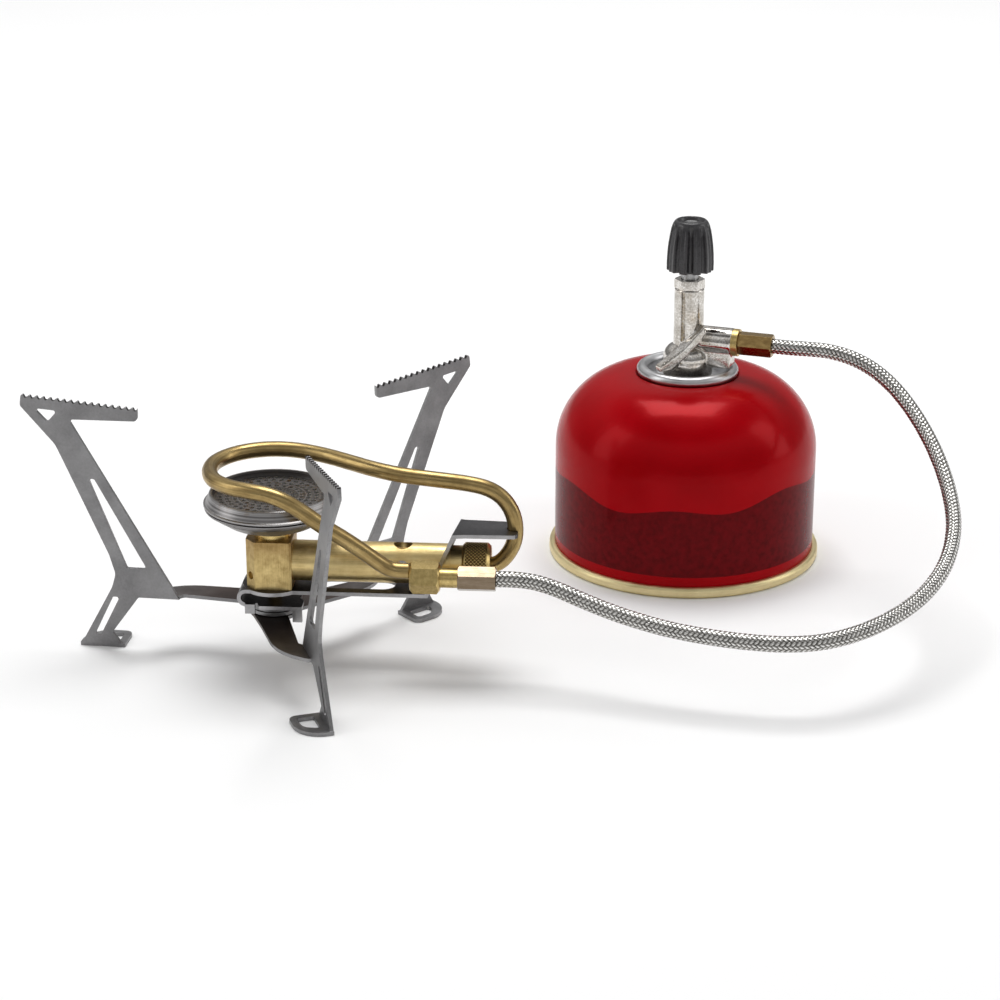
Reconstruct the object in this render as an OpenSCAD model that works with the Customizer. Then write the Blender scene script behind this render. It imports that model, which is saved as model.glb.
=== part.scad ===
// Remote-canister camping stove: a three-legged preheated burner, joined by a braided hose
// to a valve that screws onto a low gas canister. Millimetres, +Z up, feet and canister on z = 0.

/* [Legs] */
// Radius from the swing pivot to the outer tip of a pot support
leg_reach = 77.5; // [74:0.5:82]
// Height of the outer tip of each pot support above the ground
support_height = 83; // [80:0.5:86]
// How much lower the inner tip of a pot support sits
support_dip = 3; // [0:0.5:4]
// Thickness of the stamped steel sheet
sheet = 1.2; // [1:0.1:1.5]
// Number of teeth on each pot support
teeth = 17; // [10:1:20]
// Direction of the left leg, degrees from the mixing tube
left_azimuth = 176; // [168:1:182]
// Direction of the front leg
front_azimuth = 292; // [284:1:296]
// Direction of the back leg
back_azimuth = 42; // [38:1:50]

/* [Burner] */
// Radius of the perforated burner lid
lid_r = 19.2; // [18:0.2:20]
// Height of the lid's rim
lid_top = 55; // [54.5:0.1:55.2]
// Number of rings of flame ports round the middle one
port_rings = 7; // [3:1:7]
// Radius of one flame port
port_r = 0.75; // [0.4:0.05:0.8]
// Distance from one ring of flame ports to the next
port_pitch = 2.3; // [2.1:0.05:2.4]
// Radius of the mixing tube
mix_r = 6.35; // [6:0.05:6.4]
// Height of the mixing tube's axis
mix_z = 32; // [31.8:0.1:32.2]
// Radius of the knurled jet nut
nut_r = 6.9; // [6.7:0.1:7.2]
// Radius of the preheat tube
preheat_r = 2.45; // [2.2:0.05:2.5]

/* [Hose] */
// Radius of the braided hose
hose_r = 2.5; // [2.3:0.1:2.6]

/* [Valve] */
// Radius of the valve's column
column_r = 4.9; // [4.7:0.1:5.2]
// Radius of the outlet arm
arm_r = 4.6; // [4.4:0.1:4.8]
// Direction of the outlet arm, degrees from the mixing tube
outlet_azimuth = -15; // [-20:1:-10]
// Radius of the control knob at its base
knob_r = 7.9; // [7.4:0.1:8.4]
// Height of the control knob
knob_h = 17; // [15:0.5:18]
// Number of flutes round the knob
knob_flutes = 10; // [8:1:12]

/* [Canister] */
// Radius of the canister's wall
can_r = 44.3; // [44:0.1:44.5]
// Radius of the seamed rim at the canister's base
rim_r = 46.2; // [46:0.1:46.5]
// Height where the straight wall meets the shoulder
shoulder_z = 38; // [37:0.5:38]
// Radius of the shoulder's round
shoulder_r = 26; // [25.5:0.1:26]
// Thickness of the canister's steel
can_wall = 0.8; // [0.6:0.05:0.9]

/* [Hidden] */
$fn = 64;

// Where the burner's axis and the canister's axis stand, from the middle of the whole stove.
burner_at = [-47.7, -36.7, 0];
canister_at = [79.3, 62.3, 0];

// Bracket levels.
plate_top = 24.5;
plate_bottom = plate_top - sheet;
flange_bottom = 18.9;
pad_r = 8.5;
fold_r = (plate_top - flange_bottom) / 2;
fold_x = -8;
clip_z = 43.1;
clip_end = 76.2;
lean = 0.43;                      // the upright's run in x for each unit of rise
bend_skew = 0.12;                 // the strip's bend lines' run in x for each unit of y

// Leg arms are stacked under the lower flange, one above another.
arm_gap = 0.3;
arm_pitch = sheet + arm_gap;
left_arm_z = flange_bottom - arm_pitch;
back_arm_z = left_arm_z - arm_pitch;
front_arm_z = back_arm_z - arm_pitch;
panel_side = 2.2;                 // the panel's outer face, sideways from the leg's radius
stud_r = 2.2;
running = 0.05;                   // radial clearance of a hinge pin or a screwed joint
foot_depth = 10.6;
foot_outer = 63;
foot_inner = 48.6;

// Block, union and hose ends.
block_half = 7.2;
block_top = 40.2;
block_left = -8;
block_right = 6.4;
union_y = -14;
union_z = 33;
union_x = 44;
union_length = 9.1;
neck_r = 3;
ferrule_x = 58.6;
ferrule_length = 11.6;
ferrule_flats = 7;
air_hole_x = 40.5;
air_hole_r = 2.9;
mix_end = 62;
mix_shoulder = 55.2;
nut_x = 59;
nut_length = 8.6;
nut_floor = 2.4;

// Valve levels, above the ground.
seat_z = 70;                      // top of the canister's threaded boss
outlet_z = 76;
arm_length = 15.5;
washer_length = 2.2;
valve_ferrule_length = 11.4;
column_top = 93.5;
packing_h = 3.8;
knob_z = 99.8;
thread_r = 5.55;                  // the canister's threaded boss
spindle_r = 2.4;

// Canister levels.
cup_ring_z = 65;
cup_ring_r = 15.2;
cup_bead_r = 1.95;
cup_floor_z = 61.6;
cup_wall = 0.6;
rim_h = 3.6;

// Route of the preheat tube from the burner's axis: out of the jet nut, back over the burner,
// round it and down to the hose union.
preheat_route = [
    [66.4, 0, 32], [67.2, 0, 32], [68, 0, 32], [70.4, 0, 33], [73, 0, 36],
    [74.8, 0, 40], [75.2, 0, 45], [74, 0, 50], [71, 0, 54.4], [66.5, 0, 57.2],
    [60, 0.2, 58.6], [50, 1, 59.4], [40, 2.4, 60], [31, 6, 60.4], [22.5, 11.4, 60.6],
    [13.5, 16.8, 60.8], [4, 20.2, 61], [-5, 20, 61], [-13, 16, 60.9], [-18.2, 8.6, 60.8],
    [-19, 0, 60.8], [-16.2, -8.6, 60.9], [-10.6, -14.6, 61], [-4.5, -18, 61.2],
    [2, -20, 60.8], [7.2, -20.6, 59], [12.4, -20.4, 55.7], [18, -19.4, 51.2],
    [24, -17.8, 46.7], [29.8, -16.1, 41.9], [34.2, -14.7, 38], [37.4, -14.1, 35.7],
    [40, -14, 35.05], [42, -14, 35], [43.95, -14, 35]
];

// Route of the hose from the burner's axis: straight out of the burner's ferrule, round in one
// wide bend, and straight into the valve's ferrule.
hose_route = [
    [70.23, -14, 33], [76, -14, 33], [82, -14.4, 32.5], [88.5, -15.8, 31.1], [96, -18.4, 29],
    [104, -21.6, 27.1], [113, -25, 25.5], [123, -28.2, 24.2], [134, -31, 23.4], [146, -33, 22.9],
    [158, -33.8, 22.8], [169, -31.8, 23.1], [179.5, -26.4, 23.9], [189, -18.2, 25],
    [197.2, -8.4, 26.5], [203.4, 1.6, 28.6], [207.9, 11.6, 31.3], [210.6, 21.4, 34.5],
    [211.8, 31, 38.2], [211.3, 40.4, 42.9], [209.4, 49.6, 48.4], [206, 59.2, 54.6],
    [201.2, 68.8, 60.8], [195.4, 76.8, 66.4], [188.8, 82.4, 70.9], [181.5, 85.8, 74],
    [174, 87.6, 75.7], [167, 88.6, 76.1], [160.9, 89.92, 76], [155.14, 91.46, 76]
];

// ---------- shared shapes ----------

function unit(v) = v / norm(v);
function last(list) = list[len(list) - 1];

// Outline with rounded corners: each point is [x, y, radius], and a radius of 0 stays sharp.
function rounded(points, steps = 5) = [
    for (i = [0 : len(points) - 1])
        let (
            n = len(points),
            here = [points[i][0], points[i][1]],
            before = unit([points[(i + n - 1) % n][0], points[(i + n - 1) % n][1]] - here),
            after = unit([points[(i + 1) % n][0], points[(i + 1) % n][1]] - here),
            half = acos(max(-1, min(1, before * after))) / 2,
            r = points[i][2],
            centre = here + unit(before + after) * r / sin(half),
            start = here + before * r / tan(half) - centre,
            finish = here + after * r / tan(half) - centre
        )
        for (k = [0 : r > 0 ? steps : 0])
            r > 0
                ? centre + r * unit(start * (1 - k / steps) + finish * k / steps)
                : here
];

// Smooth curve through every point of a route.
function spline(p, steps) = [
    for (i = [0 : len(p) - 2], k = [0 : steps - 1])
        let (
            a = p[max(i - 1, 0)], b = p[i], c = p[i + 1], d = p[min(i + 2, len(p) - 1)],
            t = k / steps
        )
        (2 * b + (c - a) * t + (2 * a - 5 * b + 4 * c - d) * t * t
            + (3 * b - a - 3 * c + d) * t * t * t) / 2,
    last(p)
];

function headings(p) = [
    for (i = [0 : len(p) - 1]) unit(p[min(i + 1, len(p) - 1)] - p[max(i - 1, 0)])
];

// Side vectors carried along the headings without twist.
function sides_along(h, i = 0, found = []) =
    i == len(h) ? found
    : let (
        guess = i == 0 ? (abs(h[0][2]) > 0.9 ? [1, 0, 0] : [0, 0, 1]) : found[i - 1],
        side = unit(guess - (guess * h[i]) * h[i])
    )
    sides_along(h, i + 1, concat(found, [side]));

function rings(p, r, n) =
    let (h = headings(p), s = sides_along(h))
    [for (i = [0 : len(p) - 1], k = [0 : n - 1])
        p[i] + r * (cos(360 * k / n) * s[i] + sin(360 * k / n) * cross(h[i], s[i]))];

module solid_sweep(p, r, n) {
    m = len(p);
    polyhedron(
        rings(p, r, n),
        concat(
            [[for (k = [0 : n - 1]) k]],
            [for (i = [0 : m - 2], k = [0 : n - 1])
                [i * n + k, (i + 1) * n + k, (i + 1) * n + (k + 1) % n, i * n + (k + 1) % n]],
            [[for (k = [n - 1 : -1 : 0]) (m - 1) * n + k]]
        ),
        convexity = 8
    );
}

module hollow_sweep(p, r, bore, n) {
    m = len(p);
    inner = m * n;
    polyhedron(
        concat(rings(p, r, n), rings(p, bore, n)),
        concat(
            [for (i = [0 : m - 2], k = [0 : n - 1])
                [i * n + k, (i + 1) * n + k, (i + 1) * n + (k + 1) % n, i * n + (k + 1) % n]],
            [for (i = [0 : m - 2], k = [0 : n - 1])
                [inner + i * n + k, inner + i * n + (k + 1) % n,
                    inner + (i + 1) * n + (k + 1) % n, inner + (i + 1) * n + k]],
            [for (k = [0 : n - 1])
                [k, (k + 1) % n, inner + (k + 1) % n, inner + k]],
            [for (k = [0 : n - 1])
                [(m - 1) * n + k, inner + (m - 1) * n + k,
                    inner + (m - 1) * n + (k + 1) % n, (m - 1) * n + (k + 1) % n]]
        ),
        convexity = 8
    );
}

// Cylinder along +X from x.
module rod(x, length, r) {
    translate([x, 0, 0]) rotate([0, 90, 0]) cylinder(h = length, r = r);
}

// Hexagonal bar along +X from x, with a flat on top, its ends turned to a round.
module hex_rod(x, length, flats, turn = 30, chamfer = 0.45) {
    end_r = flats * 0.59 - chamfer * 1.2;
    intersection() {
        translate([x, 0, 0]) rotate([0, 90, 0]) rotate(turn)
            cylinder(h = length, d = flats / cos(30), $fn = 6);
        translate([x, 0, 0]) rotate([0, 90, 0]) rotate_extrude()
            polygon([[0, 0], [end_r, 0], [flats * 0.59, chamfer],
                [flats * 0.59, length - chamfer], [end_r, length], [0, length]]);
    }
}

module at_burner() { translate(burner_at) children(); }
module at_canister() { translate(canister_at) children(); }
module at_union() { at_burner() translate([0, union_y, union_z]) children(); }
module at_outlet() {
    at_canister() rotate(outlet_azimuth) translate([0, 0, outlet_z]) children();
}

// ---------- legs ----------

// Height of the serrated edge's root line at radius r.
function support_z(r) =
    support_height - 0.9 - support_dip * (leg_reach - r) / (leg_reach - 40.8);

function tooth_edge() = [
    for (i = [0 : teeth - 1])
        let (
            pitch = (leg_reach - 40.8) / teeth,
            r = leg_reach - i * pitch
        )
        each [
            [r, support_z(r) + 0.5], [r - 0.2 * pitch, support_z(r) + 0.9],
            [r - 0.4 * pitch, support_z(r) + 0.9], [r - 0.6 * pitch, support_z(r)],
            [r - 0.8 * pitch, support_z(r)]
        ]
];

function leg_outline(arm_z) = concat(
    tooth_edge(),
    rounded([
        [40.8, support_height - support_dip, 0], [40.9, 75.9, 1.4], [62.7, 75.6, 0.8],
        [30.2, arm_z, 0], [43.4, arm_z, 1], [52.4, 5.1, 0], [foot_inner, 0, 0],
        [foot_outer, 0, 0], [51.8, 20.4, 2.5], [50.4, 25, 4], [52.2, 31.5, 4],
        [67.4, 67.2, 9], [leg_reach + 0.4, 79.4, 1.2], [leg_reach + 0.3, 80.8, 0]
    ])
);

module leg_openings() {
    polygon(rounded([[69.5, 74.5, 0.5], [66.2, 78.2, 0.6], [73.6, 78.8, 0.6]]));
    polygon(rounded([[57.7, 57, 0.8], [46.6, 27.2, 0.6], [40.2, 27.2, 0.7], [55.5, 56.2, 0.8]]));
    polygon(rounded([[49.4, 17.4, 0.7], [51.7, 17.2, 0.7], [58.1, 4.2, 0.6], [56.2, 4, 0.6]]));
}

// Foot bent flat at the panel's lower edge, seen from above: round outer corner, one hole.
module foot_shape() {
    difference() {
        polygon(rounded([
            [foot_inner, panel_side, 0], [foot_outer, panel_side, 0],
            [foot_outer, panel_side - foot_depth, 8.6],
            [foot_inner, panel_side - foot_depth, 2.4]
        ], 8));
        polygon(rounded([
            [50.9, panel_side - 3.2, 0.8], [59.2, panel_side - 3.2, 0.9],
            [57, panel_side - 8, 3.2], [50.9, panel_side - 8.6, 1.1]
        ]));
    }
}

module leg_arm_shape() {
    difference() {
        union() {
            circle(r = 7.8);
            polygon(rounded([
                [0, panel_side, 0], [9, panel_side, 0], [29, 0.2, 1.2], [31.2, panel_side, 0],
                [41.6, panel_side, 0], [41.2, panel_side - 2, 0],
                [33, -7.8, 20], [12, -7.4, 0], [0, -7.6, 0]
            ]));
        }
        circle(r = stud_r + running);
    }
}

module leg(azimuth, arm_z) {
    color("#8c8c8e") at_burner() rotate(azimuth) {
        translate([0, panel_side, 0]) rotate([90, 0, 0]) linear_extrude(sheet)
            difference() {
                polygon(leg_outline(arm_z));
                leg_openings();
            }
        linear_extrude(sheet) foot_shape();
        translate([0, 0, arm_z]) linear_extrude(sheet) leg_arm_shape();
    }
}

module leg_left() { leg(left_azimuth, left_arm_z); }
module leg_front() { leg(front_azimuth, front_arm_z); }
module leg_back() { leg(back_azimuth, back_arm_z); }

// ---------- bracket and pivot ----------

module bracket_upper() {
    translate([0, 0, plate_bottom]) linear_extrude(sheet) difference() {
        union() {
            translate([fold_x, -7.3]) square([56, 14.6]);
            circle(r = 9.8);
        }
        polygon(rounded([[14, -4, 3.9], [38, -4, 3.9], [38, 4, 3.9], [14, 4, 3.9]]));
    }
}

module bracket_fold() {
    translate([fold_x, 7.3, plate_top - fold_r]) rotate([90, 0, 0]) linear_extrude(14.6)
        difference() {
            circle(r = fold_r);
            circle(r = fold_r - sheet);
            translate([0, -fold_r - 1]) square([fold_r + 1, 2 * fold_r + 2]);
        }
}

// Lower flange with its hub pad and the two bent-down stops.
module bracket_lower() {
    translate([0, 0, flange_bottom]) linear_extrude(sheet) {
        circle(r = pad_r);
        polygon([[fold_x, -7.3], [-4.4, -7.3], [-3.6, -9.6], [9.7, -9.6], [9.7, -4], [0, 7.3],
            [fold_x, 7.3]]);
    }
    translate([6.8, -9.6, front_arm_z + 0.6]) cube([2.9, sheet, flange_bottom - front_arm_z]);
    translate([fold_x - 0.2, -8.5, 17]) cube([3.1, sheet, flange_bottom - 17 + sheet]);
}

// Slanted upright and level clip, folded from one strip.
module bracket_strip() {
    top = clip_z + sheet;
    base_x = 48.55;
    skew = (top - plate_top) * lean;
    wide = sheet * 1.1;
    foot_x = base_x + wide - sheet * lean;
    intersection() {
        multmatrix([[1, bend_skew, 0, 0], [0, 1, 0, 0], [0, 0, 1, 0], [0, 0, 0, 1]])
            translate([0, 12, 0]) rotate([90, 0, 0]) linear_extrude(24) polygon([
                [45, plate_bottom], [foot_x, plate_bottom],
                [foot_x + skew, clip_z], [clip_end + 2, clip_z], [clip_end + 2, top],
                [base_x + skew, top], [base_x, plate_top], [45, plate_top]
            ]);
        linear_extrude(60) polygon(rounded([
            [46, -7.3, 0], [56, -7.3, 0], [60, -6.6, 0], [clip_end, -6.2, 1.6],
            [clip_end, 5.4, 2.4], [59.4, 6.4, 1], [56, 7.3, 0], [46, 7.3, 0]
        ]));
    }
}

module bracket() {
    color("#2e2b2c") at_burner() difference() {
        union() {
            bracket_upper();
            bracket_fold();
            bracket_lower();
            bracket_strip();
        }
        translate([0, 0, 10]) cylinder(h = 20, r = stud_r + running);
        translate([0, 0, mix_z]) rod(46, 14, mix_r + 0.15);
        translate([75.2, 0, clip_z - 1]) cylinder(h = 4, r = preheat_r + 0.25);
    }
}

module pivot_stud() {
    color("#b08d3e") at_burner() translate([0, 0, 10.2]) cylinder(h = 19.8, r = stud_r);
}

module pivot_washer() {
    color("#a8a8aa") at_burner() translate([0, 0, front_arm_z - 1]) difference() {
        cylinder(h = 0.8, r = 5.4);
        translate([0, 0, -1]) cylinder(h = 3, r = stud_r + running);
    }
}

module pivot_nut() {
    color("#9a9a9c") at_burner() translate([0, 0, front_arm_z - 3.7]) difference() {
        cylinder(h = 2.6, d = 7 / cos(30), $fn = 6);
        translate([0, 0, -1]) cylinder(h = 5, r = stud_r + running);
    }
}

// ---------- burner ----------

module burner_block() {
    color("#b8954a") at_burner() difference() {
        translate([0, 0, plate_top]) linear_extrude(block_top - plate_top) polygon([
            [block_right, -block_half + 0.6], [block_right - 0.6, -block_half],
            [block_left + 3, -block_half], [block_left, -block_half + 3.4],
            [block_left, block_half - 3.4], [block_left + 3, block_half],
            [block_right - 0.6, block_half], [block_right, block_half - 0.6]
        ]);
        translate([0, 0, plate_top - 1]) cylinder(h = 7, r = stud_r + running);
        translate([0, 0, mix_z]) rod(-1, 12, 4.7);
        translate([0, 0, mix_z]) cylinder(h = 12, r = 4.2);
        // blind cross hole low on the left corner facet
        translate([-6.6, -5.6, 28.6]) rotate([90, 0, -48]) translate([0, 0, -1.4])
            cylinder(h = 6, r = 1.3);
    }
}

module burner_neck() {
    color("#b8954a") at_burner() difference() {
        union() {
            translate([0, 0, block_top]) cylinder(h = bowl_z - block_top, r = 5.8);
            translate([0, 0, block_top - 3]) cylinder(h = 9.5, r = 4.15);
        }
        translate([0, 0, block_top - 4]) cylinder(h = 13, r = 3.2);
    }
}

bowl_z = block_top + 3.1;         // underside of the bowl where the neck carries it

module burner_bowl() {
    color("#77777a") at_burner() rotate_extrude(convexity = 6) {
        polygon([
            [4.2, bowl_z], [9.5, bowl_z], [14.6, bowl_z + 2.2], [18.6, bowl_z + 5],
            [20.2, bowl_z + 6.7], [20.2, bowl_z + 7.6], [19.2, bowl_z + 7.6],
            [18.1, bowl_z + 5.9], [14.2, bowl_z + 3.1], [9.3, bowl_z + 0.9],
            [4.2, bowl_z + 0.9]
        ]);
        translate([20.2, bowl_z + 7]) circle(r = 0.7, $fn = 24);
    }
}

module bowl_nut() {
    color("#9d9d9f") at_burner() translate([0, 0, bowl_z + 0.95]) difference() {
        cylinder(h = 2, d = 11 / cos(30), $fn = 6);
        translate([0, 0, -1]) cylinder(h = 4, r = 4.2);
    }
}

module burner_lid() {
    rim_z = bowl_z + 7.75;
    color("#6f6d70") at_burner() difference() {
        rotate_extrude(convexity = 6) polygon([
            [0, lid_top - 2.2], [lid_r - 1.1, lid_top - 1.8], [lid_r - 0.9, lid_top - 0.1],
            [lid_r - 0.4, lid_top], [lid_r, lid_top - 0.3], [lid_r + 1.3, rim_z + 0.7],
            [lid_r + 1.9, rim_z + 0.5], [lid_r + 1.9, rim_z], [lid_r + 0.4, rim_z],
            [lid_r - 0.9, lid_top - 2.6], [0, lid_top - 3]
        ]);
        translate([0, 0, lid_top - 4]) cylinder(h = 3, r = port_r, $fn = 16);
        for (ring = [1 : port_rings], k = [0 : 6 * ring - 1])
            rotate(360 * k / (6 * ring) + 11 * ring) translate([port_pitch * ring, 0, lid_top - 4])
                cylinder(h = 3, r = port_r, $fn = 16);
    }
}

module mixing_tube() {
    color("#c09c4c") at_burner() translate([0, 0, mix_z]) difference() {
        union() {
            rod(block_right, mix_shoulder - block_right, mix_r);
            rod(block_right - 4, 5, 4.65);
            rod(mix_shoulder, mix_end - mix_shoulder, 5.85);
        }
        rod(0, 70, 3.9);
        rod(30, 40, 4.9);
        for (k = [0 : 3])
            translate([air_hole_x, 0, 0]) rotate([90 * k, 0, 0])
                translate([0, 0, 2]) cylinder(h = 6, r = air_hole_r);
    }
}

module jet() {
    color("#c8a659") at_burner() translate([0, 0, mix_z]) difference() {
        union() {
            rod(nut_x + nut_length - nut_floor - 1.8, 1.8, 3.3);
            rod(nut_x + 1.6, nut_length - nut_floor - 3.4, 2.1);
        }
        rod(50, 20, 0.25);
        rod(nut_x + 3.2, 10, 1.2);
    }
}

module jet_nut() {
    color("#a5813a") at_burner() translate([0, 0, mix_z]) difference() {
        translate([nut_x, 0, 0]) rotate([0, 90, 0]) rotate_extrude() polygon([
            [0, 0], [nut_r - 0.7, 0], [nut_r, 0.7], [nut_r, nut_length - 0.9],
            [nut_r - 0.9, nut_length], [0, nut_length]
        ]);
        rod(nut_x - 1, nut_length - nut_floor + 1, 5.9);
        rod(nut_x, 20, 1.3);
        rod(66.4, 4, preheat_r + running);
    }
}

module preheat_tube() {
    color("#b3913f") at_burner() hollow_sweep(spline(preheat_route, 2), preheat_r, 1.5, 14);
}

// ---------- hose and its ends ----------

module hose_union() {
    color("#bd9a4b") at_union() difference() {
        union() {
            hex_rod(union_x, union_length, 8.8, 37, 1);
            rod(union_x + union_length - 1, ferrule_x - union_x - union_length + 1, neck_r);
            rod(ferrule_x - 0.5, 6, 2.4);
        }
        rod(union_x + 2, 30, 1.1);
        translate([0, 0, 2]) rod(union_x - 1, 1.05, 1.2);
        translate([union_x - 0.2, 0, 2]) rotate([0, 128, 0]) cylinder(h = 4, r = 1);
    }
}

// A ferrule is crimped over the hose's end; its bore is stepped for the spigot.
module ferrule(x, length, spigot, turn) {
    difference() {
        hex_rod(x, length, ferrule_flats, turn);
        rod(x - 1, spigot + 1, 2.45);
        rod(x, length + 1, 1.1);
    }
}

module burner_ferrule() {
    color("#8a6d42") at_union() ferrule(ferrule_x, ferrule_length, 6, 0);
}

module hose() {
    color("#b9b9b6") at_burner() solid_sweep(spline(hose_route, 2), hose_r, 10);
}

module valve_ferrule() {
    color("#94753f") at_outlet() ferrule(arm_length + washer_length, valve_ferrule_length, 4, 30);
}

module outlet_washer() {
    color("#d2b66a") at_outlet() difference() {
        rod(arm_length, washer_length, arm_r);
        rod(arm_length - 1, 10, 2.45);
    }
}

// ---------- valve ----------

// Half section of the screw-on socket, with its round shoulder.
module valve_socket_section() {
    translate([0, 63.6]) square([8.2, 6]);
    translate([0, 69.59]) square([3.6, 4.6]);
    intersection() {
        translate([3.6, 69.59]) circle(r = 4.6, $fn = 96);
        translate([0, 69.59]) square([9, 9]);
    }
}

// Web from the arm's root down across the column's front to a lug at the left front.
module valve_web() {
    rotate(208) intersection() {
        linear_extrude(90) polygon([[-2.4, 0], [-2.4, 7.2], [13.6, 6.4], [13.8, 3.4], [3, 2.6]]);
        translate([0, 20, 0]) rotate([90, 0, 0]) linear_extrude(40)
            polygon([[-3, 82.4], [5.4, 74.2], [13.8, 69.2], [13.8, 67.5], [9.2, 67.5], [-3, 78.4]]);
    }
}

module valve_body() {
    color("#c9c4bd") at_canister() difference() {
        union() {
            rotate_extrude(convexity = 4) valve_socket_section();
            translate([0, 0, 70]) cylinder(h = column_top - 70, r = column_r);
            rotate(outlet_azimuth) translate([0, 0, outlet_z]) rod(0, arm_length, arm_r);
            rotate(outlet_azimuth) translate([0, 0, outlet_z])
                rod(arm_length - 0.5, washer_length + 4, 2.4);
            rotate(outlet_azimuth) translate([6, -3.6, 67.6]) cube([9.2, 7.2, 6]);
            valve_web();
        }
        // thread for the canister's boss, then the gas way up to the seat
        translate([0, 0, 60]) cylinder(h = seat_z - 60 + 1.4, r = thread_r + 0.06);
        translate([0, 0, seat_z]) cylinder(h = 8, r = 1.1);
        translate([0, 0, 77.2]) cylinder(h = 30, r = spindle_r + running);
        translate([0, 0, 84]) cylinder(h = 14, r = 3.5);
        rotate(outlet_azimuth) translate([0, 0, outlet_z + 2.2]) rod(0, 8, 1.2);
        rotate(outlet_azimuth) translate([0, 0, outlet_z]) rod(7, 30, 1.2);
        rotate(outlet_azimuth) translate([7.4, 0, outlet_z - 1]) cylinder(h = 3.4, r = 1.2);
    }
}

module valve_spindle() {
    color("#bdb8b0") at_canister() difference() {
        union() {
            translate([0, 0, 77.3]) cylinder(h = 2.2, r1 = 0.9, r2 = spindle_r);
            translate([0, 0, 79.5]) cylinder(h = 25.6, r = spindle_r);
            translate([0, 0, 96.8]) cylinder(h = 4, r = 2.85);
        }
        translate([0, 0, 85.2]) difference() {
            cylinder(h = 1.6, r = 4);
            translate([0, 0, -1]) cylinder(h = 4, r = 1.75);
        }
        translate([0, 0, 99.6]) cylinder(h = 6, r = 0.95);
    }
}

module spindle_seal() {
    color("#1c1c1c") at_canister() translate([0, 0, 86]) rotate_extrude()
        translate([2.62, 0]) circle(r = 0.75, $fn = 32);
}

module packing_nut() {
    color("#c6c1b9") at_canister() translate([0, 0, column_top]) difference() {
        union() {
            intersection() {
                cylinder(h = packing_h - 0.6, d = 9 / cos(30), $fn = 6);
                cylinder(h = packing_h, r1 = 5.6, r2 = 4.9);
            }
            translate([0, 0, -3]) cylinder(h = 3.2, r = 3.45);
        }
        translate([0, 0, -4]) cylinder(h = 10, r = spindle_r + running);
        translate([0, 0, 1.6]) cylinder(h = 5, r = 2.95);
    }
}

module knob() {
    color("#232325") at_canister() translate([0, 0, knob_z]) difference() {
        rotate_extrude(convexity = 6) polygon([
            [0, 1.4], [4, 1.4], [4.6, 0], [knob_r, 0], [knob_r - 0.1, 5.4],
            [knob_r - 1, 12], [6.3, knob_h - 1.6], [5.6, knob_h - 0.4], [4.9, knob_h],
            [4.4, knob_h - 0.4], [4, knob_h - 1.8], [0, knob_h - 2]
        ]);
        translate([0, 0, -1]) cylinder(h = 6.5, r = spindle_r + 0.03);
        translate([0, 0, -1]) cylinder(h = knob_h + 2, r = 0.95);
        translate([0, 0, knob_h - 5.5]) cylinder(h = 6, r = 2.1);
        for (k = [0 : knob_flutes - 1])
            rotate(360 * (k + 0.5) / knob_flutes) translate([knob_r + 1.1, 0, -1])
                rotate([0, -5, 0]) cylinder(h = knob_h - 1, r = 1.75, $fn = 24);
    }
}

module knob_screw() {
    color("#8d8d90") at_canister() translate([0, 0, knob_z]) difference() {
        union() {
            translate([0, 0, knob_h - 5.45]) cylinder(h = 1.5, r = 2);
            translate([0, 0, 0.4]) cylinder(h = knob_h - 5.5, r = 0.9);
        }
        translate([-3, -0.3, knob_h - 4.5]) cube([6, 0.6, 2]);
    }
}

module pin_depressor() {
    color("#c8a659") at_canister() difference() {
        union() {
            translate([0, 0, seat_z + 1.1]) cylinder(h = 0.25, r = 5.2);
            translate([0, 0, 66.55]) cylinder(h = 4.6, r = 1.1);
        }
        for (k = [0 : 2]) rotate(120 * k) translate([3, 0, seat_z]) cylinder(h = 3, r = 0.8);
        translate([0, 0, 69.4]) cylinder(h = 5, r = 0.6);
        translate([-3, 0, 69.9]) rotate([0, 90, 0]) cylinder(h = 6, r = 0.4);
    }
}

module canister_seal() {
    color("#2a2a2a") at_canister() translate([0, 0, seat_z + 0.1]) difference() {
        cylinder(h = 0.95, r = 5.3);
        translate([0, 0, -1]) cylinder(h = 3, r = 3.1);
    }
}

// ---------- canister ----------

// Half section of the shell: straight wall, round shoulder and a collar under the valve cup.
module shell_section(inset) {
    r = shoulder_r - inset;
    translate([0, rim_h - 1]) square([can_r - inset, shoulder_z - rim_h + 1]);
    intersection() {
        translate([can_r - shoulder_r, shoulder_z]) circle(r = r, $fn = 96);
        translate([0, shoulder_z - 0.01]) square([60, 40]);
    }
    translate([0, shoulder_z - 0.01]) square([can_r - shoulder_r, r + 0.01]);
}

// Steel shell. Its neck dips under the valve cup's ring and curls up inside it.
module canister_body() {
    color("#b00a1c") at_canister() rotate_extrude(convexity = 6) {
        difference() {
            shell_section(0);
            shell_section(can_wall);
            square([can_r - can_wall, 20]);
            translate([0, 50]) square([18, 30]);
        }
        polygon([
            [18.3, 64], [17.6, 63.9], [16.9, 63.1], [16.2, 62.8], [15.75, 62.8], [15.75, 63.9],
            [15.1, 63.9], [15.1, 62.1], [16.6, 62.1], [17.6, 62.7], [18.3, 63.2]
        ]);
    }
}

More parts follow.
